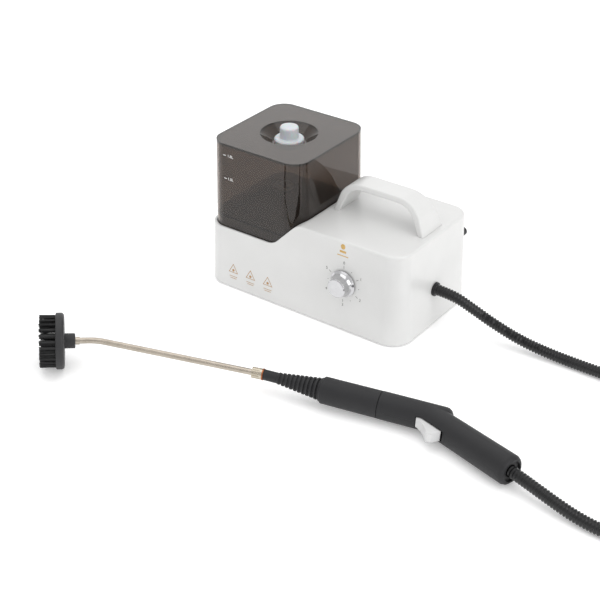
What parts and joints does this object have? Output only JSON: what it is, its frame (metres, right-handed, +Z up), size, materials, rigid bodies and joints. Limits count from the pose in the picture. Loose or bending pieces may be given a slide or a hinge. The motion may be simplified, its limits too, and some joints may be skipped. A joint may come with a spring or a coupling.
{
  "type": "steam cleaner",
  "caption": "Canister steam cleaner: white housing, smoked lift-off water tank, carry handle, dial, corrugated hose and a brush gun with a bent steel lance.",
  "frame": {"origin": "on the floor, at the middle of the footprint of the machine and its gun, without the hose", "axes": "+X along the front of the machine towards its hose outlet, +Y from front to back, +Z up"},
  "size_m": [0.832, 0.5132, 0.215],
  "materials": {
    "housing_white": "satin white ABS, moulded",
    "base_grey": "matte grey ABS",
    "smoked_tank": "smoked clear polycarbonate",
    "silicone_white": "white translucent silicone",
    "valve_plastic": "acetal",
    "spring_steel": "stainless spring wire",
    "seal_rubber": "black silicone seal",
    "knob_silver": "satin chrome",
    "zinc_steel": "zinc-plated steel",
    "black_rubber": "black rubber",
    "boiler_aluminium": "die-cast aluminium",
    "heater_sheath": "steel heater sheath",
    "phenolic_black": "phenolic moulding",
    "board_green": "glass-epoxy board with parts",
    "silicone_tube": "silicone tube",
    "brass": "machined brass",
    "gun_black": "soft-touch black nylon",
    "trigger_white": "off-white nylon",
    "lance_steel": "polished stainless tube",
    "copper": "copper washer",
    "hose_black": "corrugated black hose",
    "brush_black": "black polypropylene",
    "bristle_nylon": "nylon bristle",
    "tie_black": "nylon hook-and-loop tie"
  },
  "bodies": {
    "root": {"housing": "housing_white", "base_plate": "base_grey", "base_screws": "zinc_steel", "feet": "black_rubber", "carry_handle": "housing_white", "handle_screws": "zinc_steel", "dock_socket": "valve_plastic", "potentiometer": "zinc_steel", "boiler_block": "boiler_aluminium", "heater_element": "heater_sheath", "boiler_standoffs": "phenolic_black", "thermostat": "phenolic_black", "thermal_fuse": "zinc_steel", "steam_pipe": "brass", "pump": "phenolic_black", "pump_mounts": "black_rubber", "water_tube": "silicone_tube", "feed_tube": "silicone_tube", "control_board": "board_green", "board_rails": "base_grey", "hose_outlet": "gun_black", "cable_gland": "gun_black", "terminal_block": "valve_plastic", "hose_to_coil": "hose_black", "hose_coil": "hose_black", "hose_tie": "tie_black"},
    "tank": {"tank_body": "smoked_tank", "tank_lid": "smoked_tank", "tank_valve_cage": "valve_plastic", "tank_valve_seal": "seal_rubber", "tank_valve_spring": "spring_steel"},
    "stopper": {"tank_stopper": "silicone_white"},
    "poppet": {"tank_poppet": "valve_plastic"},
    "dial": {"dial_knob": "knob_silver", "dial_shaft": "zinc_steel"},
    "gun": {"lance_tube": "lance_steel", "lance_nut": "lance_steel", "copper_washer": "copper", "ribbed_boot": "gun_black", "front_sleeve": "gun_black", "gun_shell_left": "gun_black", "gun_shell_right": "gun_black", "shell_screws": "zinc_steel", "trigger_pin": "spring_steel", "trigger_spring": "spring_steel", "valve_body": "brass", "gun_pipe": "lance_steel", "gun_tube": "silicone_tube", "hose_cuff": "gun_black", "brush_ferrule": "lance_steel", "hose_to_gun": "hose_black"},
    "trigger": {"trigger": "trigger_white"},
    "plunger": {"valve_plunger": "spring_steel"},
    "brush": {"brush_head": "brush_black", "bristles": "bristle_nylon"}
  },
  "joints": [
    {"name": "tank_lift", "type": "slide", "parent": "root", "child": "tank", "axis": [0, 0, 1], "range_m": [0, 0.06]},
    {"name": "stopper_pull", "type": "slide", "parent": "tank", "child": "stopper", "axis": [0, 0, 1], "range_m": [0, 0.03]},
    {"name": "poppet_close", "type": "slide", "parent": "tank", "child": "poppet", "axis": [0, 0, 1], "range_m": [-0.0038, 0], "deforming": ["tank_valve_spring"]},
    {"name": "dial_turn", "type": "hinge", "parent": "root", "child": "dial", "pos_m": [-0.02746, 0.05232, 0.069], "axis": [0, 1, 0], "range_deg": [0, 300]},
    {"name": "gun_lift", "type": "slide", "parent": "root", "child": "gun", "axis": [0, 0, 1], "range_m": [0, 0.12]},
    {"name": "trigger_pull", "type": "hinge", "parent": "gun", "child": "trigger", "pos_m": [0.1676, -0.07387, 0.01811], "axis": [0.0112, 0.0849, 0.9963], "range_deg": [0, 4], "stiffness_Nm_per_rad": 0.6, "springref_deg": -17.19},
    {"name": "plunger_push", "type": "slide", "parent": "gun", "child": "plunger", "axis": [-0.9684, -0.2473, 0.032], "range_m": [0, 0.000526]},
    {"name": "brush_pull", "type": "slide", "parent": "gun", "child": "brush", "axis": [-0.7177, -0.6931, 0.0671], "range_m": [0, 0.025]}
  ],
  "couplings": [
    {"joint": "poppet_close", "follows": "tank_lift", "ratio": -0.063333},
    {"joint": "plunger_push", "follows": "trigger_pull", "m_per_rad": 0.0061}
  ]
}
